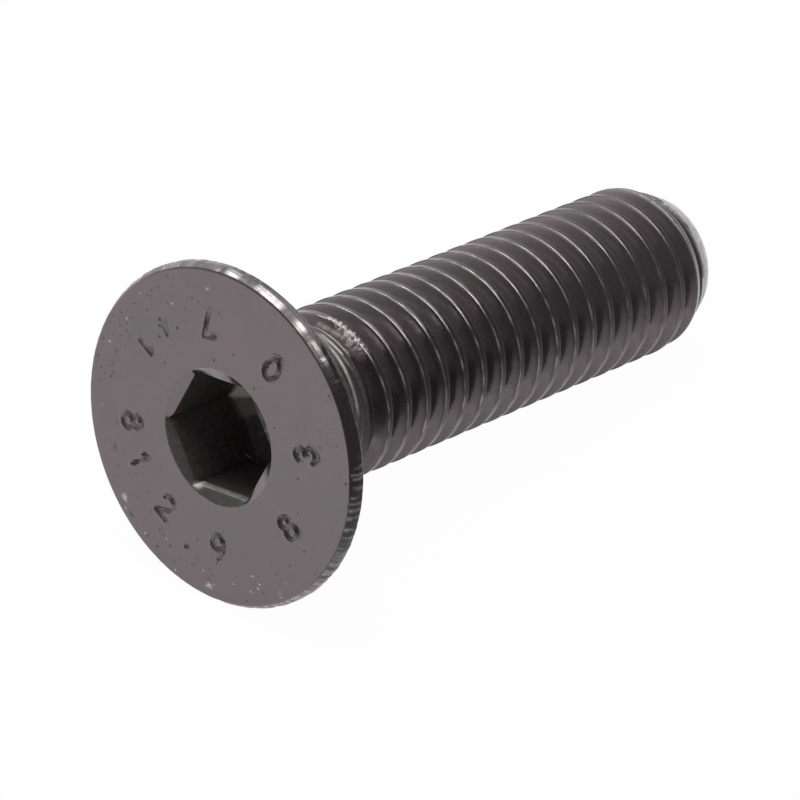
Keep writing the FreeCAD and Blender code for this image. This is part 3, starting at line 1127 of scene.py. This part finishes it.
    def worn_and_highlit_rim(self) -> np.ndarray:
        """Where the rim is light: a painted highlight above, worn patches on the far side, worn
        streaks below, a worn back edge, light nicks and sparks.
        """
        s, at = self.sizes, self.at
        streaks = np.clip(0.5 + 0.5 * self.rim_streaks.at(at.angle, at.depth), 0, 1)
        patches = np.clip(0.6 + 0.5 * self.rim_patches.at(at.angle, at.depth), 0.1, 1)
        sparks = np.clip(self.rim_sparks.at(at.angle, 2 * at.depth) - 1.3, 0, 0.6)
        far = ramp(at.turned, 2, 14) * ramp(at.turned, 100, 60)
        low = np.maximum(ramp(at.turned, -98, -123) * ramp(at.turned, -186, -161),
                         ramp(at.turned, 165, 175))
        back_edge = bell(at.depth - s.land + 0.02, 0.05)
        nicks = strongest(*(bell(at.turned - nick, 0.45) for nick in self.bright_nicks))
        return self.rim() * strongest(
            0.3 * self.upper_rim_highlight()[0] * (0.4 + 0.6 * streaks), 0.24 * far * patches,
            0.36 * low * streaks, 0.5 * back_edge * patches * streaks, 0.6 * nicks, sparks)

    def socket_edge(self) -> np.ndarray:
        """The bevels above and beside the socket, worn and partly lightened as a painted
        reflection, and a painted highlight along the inner edge of its lower side and at that
        side's corner.
        """
        s, at = self.sizes, self.at
        off = s.from_side(at.turned, Side.LOWER)
        reach = s.socket_flats / 2 / np.cos(np.radians(np.clip(off, -30, 30)))
        on_side = (np.abs(off) < 29) * (at.depth < 0.5)
        # Painted highlight: a bright line and a faint band along the inner edge of the lower side,
        # and a bright patch at its corner.
        edge = 0.6 * bell(at.radius - reach, 0.035) * on_side
        band = 0.05 * bell(np.maximum(at.radius - reach, 0), 0.14) * on_side
        corner = 0.95 * bell(off + 26, 3.2) * (at.radius < s.mouth_radius - 0.03) * (
            at.depth < 0.32) * (np.abs(off) < 30)
        bevel = (at.radius < s.mouth_radius - 0.005) & (at.depth < 0.28)
        patches = np.clip(0.7 + 0.35 * self.bevel_patches.at(at.angle, 6 * at.radius), 0, 1)
        return strongest((at.radius < s.mouth_radius) * strongest(edge, band, corner), *(
            amount * bevel * patches * (np.abs(s.from_side(at.turned, side)) < 29.5)
            for side, amount in self.bevel_wear_and_reflection))

    def grime(self) -> np.ndarray:
        """Where the surface is darkened: by soiling and oil, in the stamps and pits of the face,
        on the mouth's lower bevels, and by painted shade inside the socket, in the thread's
        grooves and in the gaps of the upper rim's highlight.
        """
        s, at, marks = self.sizes, self.at, self.marks
        stamped = self.on_face(lambda spots: 0.55 * marks.groove(spots)
                               + 24 * np.clip(marks.pit_floor(spots), 0, 0.04))
        in_socket = (at.radius < s.mouth_radius - 0.02) & (at.depth > 0.02) & (at.depth < 6)
        # Painted shade: the socket's walls and floor are darkened below the mouth's bevel.
        walls = in_socket * ramp(at.depth, s.mouth_depth + 0.02, s.mouth_depth + 0.1)
        border = 0.8 * (np.abs(at.radius - s.mouth_radius) < 0.02) * (at.depth < 0.1)
        bevel = in_socket * (at.depth < s.mouth_depth + 0.02) + border
        bevels = (amount * bevel * (np.abs(s.from_side(at.turned, side)) < 30)
                  for side, amount in self.bevel_darkening)
        threaded = ramp(at.depth, s.rise_start + 0.6, s.rise_start + 1.2) * (
            at.depth < s.length - 0.4)
        # Painted shade in the thread's grooves; it reaches further up the flanks except from the
        # lower side round to the near side.
        deeper_root_shade = 0.07 * ramp(at.turned, -80, -60)
        root_shade = ramp(at.radius, s.root_radius + 0.13 + deeper_root_shade, s.root_radius + 0.08)
        neck = ramp(at.depth, 4.2, 4.5) * ramp(at.depth, 6.1, 5.6) * (at.radius > 3.0)
        rings = np.clip(0.55 + 0.4 * self.neck_dirt.at(0.2 * at.angle, at.depth), 0, 1)
        return strongest(stamped, walls, *bevels, 0.85 * threaded * root_shade * (at.radius > 3.1),
                         # Painted shade in the gaps of the upper rim's highlight.
                         0.7 * self.upper_rim_highlight()[1], 0.6 * neck * rings)

    def dust_and_light(self) -> np.ndarray:
        """Where pale dust or raw torn steel lies, and where pale colour paints light: a lit patch
        on the socket's floor, a highlight on the upper rim and at the lower corner of the socket,
        on the crest edges of the near and lower side, and a glint on a wall scratch.
        """
        s, at, torn = self.sizes, self.at, self.handling.torn_zone(self.at)
        up, side = self.places[:, 0], self.places[:, 1]
        bottom = (at.radius < s.mouth_radius) & (at.depth > s.socket_depth - 0.06) & (
            at.depth < 6) & (side > 0.8)
        # Painted light: a pale lit patch at the upper end of the socket's floor, with a faint
        # brownish stain below it.
        lit_patch = ramp(up - 0.33 * (3.1 - side), -0.55, -0.45)
        oily = ramp(up - 0.5 * (2.4 - side), -1.5, -1.0)
        streaks = np.clip(0.7 + 0.4 * self.rim_streaks.at(at.angle, at.depth), 0.3, 1)
        scuffed = self.rim() * (at.turned < 0) * ramp(at.turned, -88, -148)
        off = s.from_side(at.turned, Side.LOWER)
        # Pale painted highlight at the corner of the socket's lower side.
        corner = bell(off + 27, 3.6) * (at.depth < 0.42) * (at.radius < s.mouth_radius - 0.02)
        return strongest(bottom * (0.85 * lit_patch + 0.18 * oily * (1 - lit_patch)),
                         0.16 * torn * self.handling.burr(at),
                         torn * np.clip(1.2 * self.handling.scratched(at), 0, 1),
                         # Pale painted highlight on the upper rim.
                         0.42 * streaks * self.upper_rim_highlight()[0], 0.45 * streaks * scuffed,
                         corner * (np.abs(off + 25) < 5.2),
                         # Pale painted highlight on the crest edges of the near and lower side.
                         0.36 * ramp(at.turned, -35, -50) * self.crest_wear_and_highlight(),
                         # The wall scratch's pale colour also paints a bright glint.
                         self.handling.wall_scratch_and_glint(at))

    def flakes(self) -> np.ndarray:
        """Where torn flakes lie over the first crest and in the scratches."""
        at = self.at
        share = np.maximum(self.handling.burr(at), 0.5 * self.handling.scratched(at))
        return self.handling.torn_zone(at) * (at.depth > 5.3) * np.clip(1.6 * share, 0, 1)

    def flecks(self) -> np.ndarray:
        """Where tiny bright flecks lie on the first flanks."""
        s, at = self.sizes, self.at
        along = ramp(at.depth, s.rise_start + 0.5, s.rise_start + 1.0) * ramp(at.depth, 15, 8)
        return along * ramp(at.turned, 30, 10) * ramp(at.turned, -48, -28)


@dataclass(frozen=True)
class Grain:
    """A noise on the surface: scale per millimetre, detail, roughness and the range in use."""

    scale: float
    detail: float
    rough: float
    low: float
    high: float


class NodeDesk:
    """Adds shader nodes to one node tree, a value, a colour or a surface at a time."""

    def __init__(self, owner: bpy.types.Material | bpy.types.World, output: str) -> None:
        """Starts an empty tree.

        Args:
            owner: The material or world that the tree belongs to.
            output: What its output node is, such as "OutputMaterial".
        """
        owner.use_nodes = True
        self.owner = owner
        self.nodes, self.links = owner.node_tree.nodes, owner.node_tree.links
        self.nodes.clear()
        self.out = self.add(output)

    @classmethod
    def for_material(cls, name: str) -> "NodeDesk":
        """A desk for a new material."""
        return cls(bpy.data.materials.new(name), "OutputMaterial")

    def add(self, kind: str, values: dict[str | int, object] | None = None,
            **settings: object) -> bpy.types.Node:
        """Adds one node.

        Args:
            kind: Its type, without the part that all shader nodes share.
            values: What each of its inputs holds, as a value or as the socket that feeds it.
            settings: Its own settings, such as its operation.

        Returns:
            The new node.
        """
        node = self.nodes.new("ShaderNode" + kind)
        for name, setting in settings.items():
            setattr(node, name, setting)
        for name, value in (values or {}).items():
            if isinstance(value, bpy.types.NodeSocket):
                self.links.new(value, node.inputs[name])
            else:
                node.inputs[name].default_value = value
        return node

    def own_millimetres(self, laid_down: Matrix) -> bpy.types.NodeSocket:
        """Coordinates on the screw's own axis, in millimetres."""
        return self.add("Mapping", {
            "Vector": self.add("TexCoord").outputs["Object"],
            "Location": laid_down.to_translation(), "Rotation": laid_down.to_euler(),
            "Scale": (MM, MM, MM)}, vector_type="TEXTURE").outputs["Vector"]

    def spread(self, value: bpy.types.NodeSocket, low: float, high: float,
               to_low: float = 0.0, to_high: float = 1.0) -> bpy.types.NodeSocket:
        """Stretches a value from one range to another, clamped."""
        return self.add("MapRange", {"Value": value, "From Min": low, "From Max": high,
                                     "To Min": to_low, "To Max": to_high}).outputs["Result"]

    def grain(self, vector: bpy.types.NodeSocket, grain: Grain, to_low: float = 0.0,
              to_high: float = 1.0) -> bpy.types.NodeSocket:
        """A noise of the given coordinates, its range in use stretched to another."""
        noise = self.add("TexNoise", {"Vector": vector, "Scale": grain.scale,
                                      "Detail": grain.detail, "Roughness": grain.rough})
        return self.spread(noise.outputs["Fac"], grain.low, grain.high, to_low, to_high)

    def join(self, operation: str, first: bpy.types.NodeSocket,
             second: bpy.types.NodeSocket) -> bpy.types.NodeSocket:
        """The result of one operation, such as MULTIPLY, on two values."""
        return self.add("Math", {0: first, 1: second}, operation=operation).outputs[0]

    def colours(self, share: bpy.types.NodeSocket, first: object,
                second: object) -> bpy.types.NodeSocket:
        """A mix of two colours, each a colour or the output of a node, by a value."""
        first, second = ((*value, 1) if isinstance(value, tuple) else value
                         for value in (first, second))
        return self.add("Mix", {0: share, 6: first, 7: second}, data_type="RGBA").outputs[2]

    def surfaces(self, share: bpy.types.NodeSocket, first: bpy.types.Node,
                 second: bpy.types.Node) -> None:
        """Shows a mix of two shaders by a value."""
        mix = self.add("MixShader", {0: share, 1: first.outputs[0], 2: second.outputs[0]})
        self.links.new(mix.outputs[0], self.out.inputs["Surface"])

    def mask(self, wear: Wear) -> bpy.types.NodeSocket:
        """One of the masks stored on the mesh."""
        return self.add("Attribute", attribute_name=wear.value).outputs["Fac"]


@dataclass(frozen=True)
class BlackOxide:
    """Satin black oxide on steel, with a faint tint and with metal showing where it is worn; its
    wear masks also carry painted highlights, reflections and shade.
    """

    oxide: tuple[float, float, float] = (0.197, 0.165, 0.178)
    green: tuple[float, float, float] = (0.178, 0.166, 0.166)
    violet: tuple[float, float, float] = (0.199, 0.166, 0.181)
    # Light metal colour of worn steel, also used for painted highlights and reflections.
    bare_and_highlight: tuple[float, float, float] = (0.70, 0.70, 0.69)
    # Dark colour of soiling, also used for painted shade.
    shade_and_dirt: tuple[float, float, float] = (0.043, 0.039, 0.037)
    # Pale colour of dust and raw steel, also used for painted light.
    dust_and_light: tuple[float, float, float] = (0.68, 0.64, 0.62)
    tints: Grain = Grain(0.35, 3, 0.5, 0.4, 0.6)
    clouds: Grain = Grain(0.9, 4, 0.5, 0.35, 0.65)
    dirt_and_shade_grain: Grain = Grain(4.5, 4, 0.6, 0.3, 0.6)
    worn_grain: Grain = Grain(3.2, 5, 0.65, 0.35, 0.6)
    fleck_grain: Grain = Grain(7.0, 6, 0.75, 0.66, 0.72)
    flake_grain: Grain = Grain(5.5, 6, 0.8, 0.47, 0.56)
    sheen_grain: Grain = Grain(6, 4, 0.5, 0.3, 0.7)
    bump_grain: Grain = Grain(3.6, 5, 0.55, 0.0, 1.0)
    roughness: tuple[float, float] = (0.09, 0.19)
    specular: float = 0.25
    metallic: tuple[float, float] = (0.9, 0.74)
    metallic_depths: tuple[float, float] = (13.0, 29.0)
    bump_strength: float = 0.26
    bump_height: float = 0.03 * MM

    def build(self, laid_down: Matrix) -> bpy.types.Material:
        """Builds the material.

        Args:
            laid_down: The matrix from the screw's own millimetres to the row frame.

        Returns:
            The finished material.
        """
        desk = NodeDesk.for_material(SLOT)
        own = desk.own_millimetres(laid_down)
        base = desk.colours(desk.grain(own, self.clouds), self.oxide, desk.colours(
            desk.grain(own, self.tints), self.green, self.violet))
        # Soiling together with painted shade.
        dirty_and_shaded = desk.join("MULTIPLY", desk.mask(Wear.GRIME),
                          desk.grain(own, self.dirt_and_shade_grain, 0.7, 1.0))
        # Worn metal, together with painted highlights and reflections.
        rubbed_and_highlit = desk.join("MULTIPLY", desk.mask(Wear.BARE),
                           desk.grain(own, self.worn_grain, 0.5, 1.0))
        flecks = desk.join("MULTIPLY", desk.mask(Wear.FLECK), desk.grain(own, self.fleck_grain))
        flakes = desk.join("MULTIPLY", desk.mask(Wear.TORN), desk.grain(own, self.flake_grain))
        # Metal colour for wear and for painted highlights and reflections.
        worn = desk.join("MAXIMUM", rubbed_and_highlit, desk.join("MAXIMUM", flakes, flecks))
        pale = desk.join("MAXIMUM", desk.mask(Wear.DUST), desk.spread(flakes, 0, 1, 0.0, 0.8))
        colour = desk.colours(worn, desk.colours(dirty_and_shaded, base, self.shade_and_dirt), self.bare_and_highlight)
        near, far = (-depth for depth in self.metallic_depths)
        depth = desk.add("SeparateXYZ", {0: own}).outputs["Z"]
        metal = desk.join("MULTIPLY", desk.spread(depth, far, near, *reversed(self.metallic)),
                          desk.spread(desk.join("MAXIMUM", dirty_and_shaded, pale), 0, 1, 1.0, 0.0))
        rough = desk.join("ADD", desk.grain(own, self.sheen_grain, *self.roughness),
                          desk.spread(worn, 0, 1, 0.0, 0.22))
        uneven = desk.join("ADD", desk.grain(own, self.bump_grain),
                           desk.spread(flakes, 0, 1, 0.0, 0.9))
        bump = desk.add("Bump", {"Height": uneven, "Strength": self.bump_strength,
                                 "Distance": self.bump_height})
        shader = desk.add("BsdfPrincipled", {
            "Base Color": desk.colours(pale, colour, self.dust_and_light),
            "Metallic": desk.join("MULTIPLY", metal, desk.spread(worn, 0, 1, 1.0, 0.55)),
            "Roughness": desk.join("ADD", rough, desk.spread(dirty_and_shaded, 0, 1, 0.0, 0.3)),
            "Specular IOR Level": self.specular, "Normal": bump.outputs["Normal"]})
        desk.links.new(shader.outputs["BSDF"], desk.out.inputs["Surface"])
        return desk.owner


@dataclass
class Screw:
    """The whole screw: head, socket, thread and point as one closed mesh."""

    sizes: ScrewSizes
    finish: BlackOxide
    sharpest_smooth: float = 40.0

    def build(self, laid_down: Matrix) -> bpy.types.Object:
        """Models the screw, lays it down and dresses it.

        Args:
            laid_down: The matrix from the screw's own millimetres to the row frame.

        Returns:
            The finished object, with its place in its mesh.
        """
        thread = ThreadForm(self.sizes)
        parts = [HeadForm(self.sizes, neck_end=thread.start).build(),
                 SocketForm(self.sizes).build(),
                 thread.build(),
                 PointForm(self.sizes, start=thread.stop).build()]
        piece = Bench.join(parts, NODE + "_looks")
        marks = FaceMarks()
        marks.apply(piece, self.sizes)
        handling = Handling(self.sizes, thread)
        handling.apply(piece)
        WearMasks(piece, marks, handling).store()
        Bench.activate(piece)
        bpy.ops.object.shade_smooth_by_angle(angle=math.radians(self.sharpest_smooth))
        piece.data.transform(laid_down)
        piece.data.materials.clear()
        piece.data.materials.append(self.finish.build(laid_down))
        return piece


@dataclass
class Studio:
    """A white room with a pale floor, a soft lamp overhead, cards for reflections, the camera."""

    face: Vector
    camera_offset: tuple[float, float, float] = (-167.7168, -160.1632, 147.3427)
    heading: float = -48.23507
    dip: float = 32.10937
    lens: float = 290.0586
    floor_size: float = 4.0
    floor_colour: tuple[float, ...] = (0.93, 0.93, 0.93, 1)
    floor_white: float = 0.975
    floor_sheen: float = 0.4
    floor_glow: float = 0.3
    room_light: float = 0.4
    lamp_place: tuple[float, float, float] = (0, 0.05, 0.3)
    lamp_size: tuple[float, float] = (0.12, 0.42)
    lamp_power: float = 0.6
    card_middle: tuple[float, float, float] = (0.004, -0.0255, 0.0005)
    card_size: tuple[float, float] = (0.09, 0.041)
    card_tones: tuple[tuple[float, float], ...] = (
        (-0.046, 0.05), (-0.02, 0.1), (-0.011, 0.2), (-0.0095, 0.29), (-0.007, 0.4),
        (-0.005, 0.55))
    light_middle: tuple[float, float, float] = (0.037, 0.0155, 0.0006)
    light_size: float = 0.04
    ring_centre: tuple[float, float] = (0.010, 0.0)
    ring_radius: float = 0.047
    ring_levels: tuple[float, ...] = (0.0, 0.0105, 0.012, 0.030, 0.060)
    ring_tones: tuple[tuple[float, float], ...] = (
        (-235, 0.9), (-221, 0.68), (-210, 0.45), (-199, 0.31), (-188, 0.22), (-178, 0.15),
        (-171, 0.10), (-163, 0.055), (-150, 0.045), (-30, 0.045), (-18, 0.06), (-5, 0.12),
        (12, 0.25), (38, 0.5), (60, 0.9))
    white_below: float = -183.0
    white_beyond: tuple[float, float] = (-4.0, 34.0)

    def white_world(self) -> None:
        """White all round for the eye and for reflections, and softer as a light."""
        world = bpy.context.scene.world = bpy.data.worlds.new("white_room")
        desk = NodeDesk(world, "OutputWorld")
        white = (1, 1, 1, 1)
        path = desk.add("LightPath").outputs
        looked_at = path["Is Camera Ray"]
        for ray in ("Is Glossy Ray", "Is Transmission Ray"):
            looked_at = desk.join("MAXIMUM", looked_at, path[ray])
        desk.surfaces(looked_at,
                      desk.add("Background", {"Color": white, "Strength": self.room_light}),
                      desk.add("Background", {"Color": white}))

    def floor(self) -> None:
        """A pale floor that reads as white and keeps a soft shadow."""
        Bench.clear()
        bpy.ops.mesh.primitive_plane_add(size=self.floor_size)
        plane = bpy.context.object
        plane.name = plane.data.name = "floor"
        desk = NodeDesk.for_material("pale_floor")
        path = desk.add("LightPath").outputs
        share = desk.join("MAXIMUM", desk.spread(path["Is Camera Ray"], 0, 1, self.floor_glow,
                                                 self.floor_white),
                          desk.spread(path["Is Glossy Ray"], 0, 1, 0.0, self.floor_sheen))
        desk.surfaces(share, desk.add("BsdfDiffuse", {"Color": self.floor_colour}),
                      desk.add("Emission"))
        plane.data.materials.append(desk.owner)

    def lamp(self) -> None:
        """One long soft lamp straight overhead, across the screw."""
        data = bpy.data.lights.new("soft_lamp", "AREA")
        data.shape = "RECTANGLE"
        data.size, data.size_y = self.lamp_size
        data.energy = self.lamp_power
        lamp = bpy.data.objects.new("soft_lamp", data)
        bpy.context.scene.collection.objects.link(lamp)
        lamp.location = self.face + Vector(self.lamp_place)

    def card(self, name: str, piece: bpy.types.Object, tones: np.ndarray) -> None:
        """Makes a piece a card that only reflections see.

        Args:
            name: Name of the card and of its material.
            piece: The card's mesh.
            tones: How light the card is at each vertex, from 0 to 1.
        """
        piece.name = piece.data.name = name
        Bench.mask(piece, Wear.TONE, tones)
        desk = NodeDesk.for_material(name)
        glow = desk.add("Emission", {"Strength": desk.mask(Wear.TONE)})
        desk.links.new(glow.outputs[0], desk.out.inputs["Surface"])
        piece.data.materials.append(desk.owner)
        piece.visible_camera = piece.visible_diffuse = piece.visible_shadow = False

    def ring_card(self) -> None:
        """A standing ring of dark card round the near side, lighter towards its ends."""
        Bench.clear()
        bpy.ops.mesh.primitive_circle_add(vertices=120, radius=self.ring_radius,
                                          location=(*self.ring_centre, 0.0))
        ring = bpy.context.object
        bpy.ops.object.transform_apply(location=True)
        Bench.edit(ring, "EDGE")
        bpy.ops.mesh.select_all(action="SELECT")
        for low, high in zip(self.ring_levels, self.ring_levels[1:]):
            bpy.ops.mesh.extrude_region_move(TRANSFORM_OT_translate={"value": (0, 0, high - low)})
        bpy.ops.object.mode_set(mode="OBJECT")
        Bench.choose(ring, self.azimuth(Bench.face_centres(ring)) > self.ring_tones[-1][0])
        bpy.ops.mesh.delete(type="FACE")
        bpy.ops.object.mode_set(mode="OBJECT")
        places = Bench.places(ring)
        azimuth = self.azimuth(places)
        tones = np.interp(azimuth, *zip(*self.ring_tones))
        beyond, until = self.white_beyond
        open_low = (azimuth < self.white_below) | (azimuth > beyond) & (azimuth < until)
        tones[open_low & (places[:, 2] < self.ring_levels[1] + 1e-4)] = self.ring_tones[-1][1]
        self.card("dark_ring", ring, tones)

    def floor_cards(self) -> None:
        """A grey card on the floor before the screw and a light one beyond its point."""
        Bench.clear()
        bpy.ops.mesh.primitive_grid_add(x_subdivisions=1, y_subdivisions=82, size=1,
                                        location=self.card_middle)
        low_card = bpy.context.object
        low_card.scale = (*self.card_size, 1)
        bpy.ops.object.transform_apply(location=True, rotation=True, scale=True)
        tones = np.interp(Bench.places(low_card)[:, 1], *zip(*self.card_tones))
        self.card("grey_floor_card", low_card, tones)
        Bench.clear()
        bpy.ops.mesh.primitive_plane_add(size=self.light_size, location=self.light_middle)
        light = bpy.context.object
        bpy.ops.object.transform_apply(location=True)
        self.card("light_floor_card", light, np.full(4, self.ring_tones[-1][1]))

    def azimuth(self, places: np.ndarray) -> np.ndarray:
        """Angle of each place round the ring, in degrees from the first tone's angle on."""
        x, y = places[:, 0] - self.ring_centre[0], places[:, 1] - self.ring_centre[1]
        first = self.ring_tones[0][0]
        return first + np.mod(np.degrees(np.arctan2(y, x)) - first, 360)

    def camera(self) -> None:
        """The camera of the picture: level, from the head's side, with a long lens."""
        turn, dip = math.radians(self.heading), math.radians(self.dip)
        right = Vector((math.cos(turn), math.sin(turn), 0))
        ahead = Vector((-math.sin(turn) * math.cos(dip), math.cos(turn) * math.cos(dip),
                        -math.sin(dip)))
        data = bpy.data.cameras.new("camera")
        data.lens, data.sensor_width, data.sensor_fit = self.lens, 36, "AUTO"
        data.clip_start, data.clip_end = 0.01, 10
        eye = bpy.data.objects.new("camera", data)
        bpy.context.scene.collection.objects.link(eye)
        turned = Matrix((right, right.cross(ahead), -ahead)).transposed()
        eye.matrix_world = Matrix.Translation(
            self.face + Vector(self.camera_offset) * MM) @ turned.to_4x4()
        bpy.context.scene.camera = eye

    def build(self) -> None:
        """Sets up the room, the light and the camera."""
        for step in (self.white_world, self.floor, self.lamp, self.ring_card,
                     self.floor_cards, self.camera):
            step()
        bpy.context.scene.view_settings.view_transform = "Standard"


def resting_place(record: dict) -> Matrix:
    """The matrix from the screw's own millimetres to the row frame.

    Args:
        record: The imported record, whose socket mount gives the middle of the face and the axis.

    Returns:
        The matrix, with the scale from millimetres to metres in it.
    """
    mount = next(item for item in record["mounts"] if item["name"] == "key_socket")
    outward = Vector(mount["axis"]).normalized()
    side = Vector((0, 1, 0))
    up = side.cross(outward).normalized()
    turned = Matrix((up, side, outward)).transposed().to_4x4()
    return Matrix.Translation(Vector(mount["pos_m"])) @ turned @ Matrix.Scale(MM, 4)


def main() -> None:
    """Builds the screw and the room."""
    logging.basicConfig(level=logging.INFO, format="%(message)s")
    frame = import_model()
    laid_down = resting_place(frame["record"])
    screw = Screw(ScrewSizes(), BlackOxide()).build(laid_down)
    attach(screw, BODY)
    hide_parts(NODE)
    triangles = sum(len(face.vertices) - 2 for face in screw.data.polygons)
    LOG.info("%s: %d triangles", screw.name, triangles)
    Studio(laid_down.to_translation()).build()
    LOG.info("room, lamp, cards and camera are set")


if __name__ == "__main__":
    main()
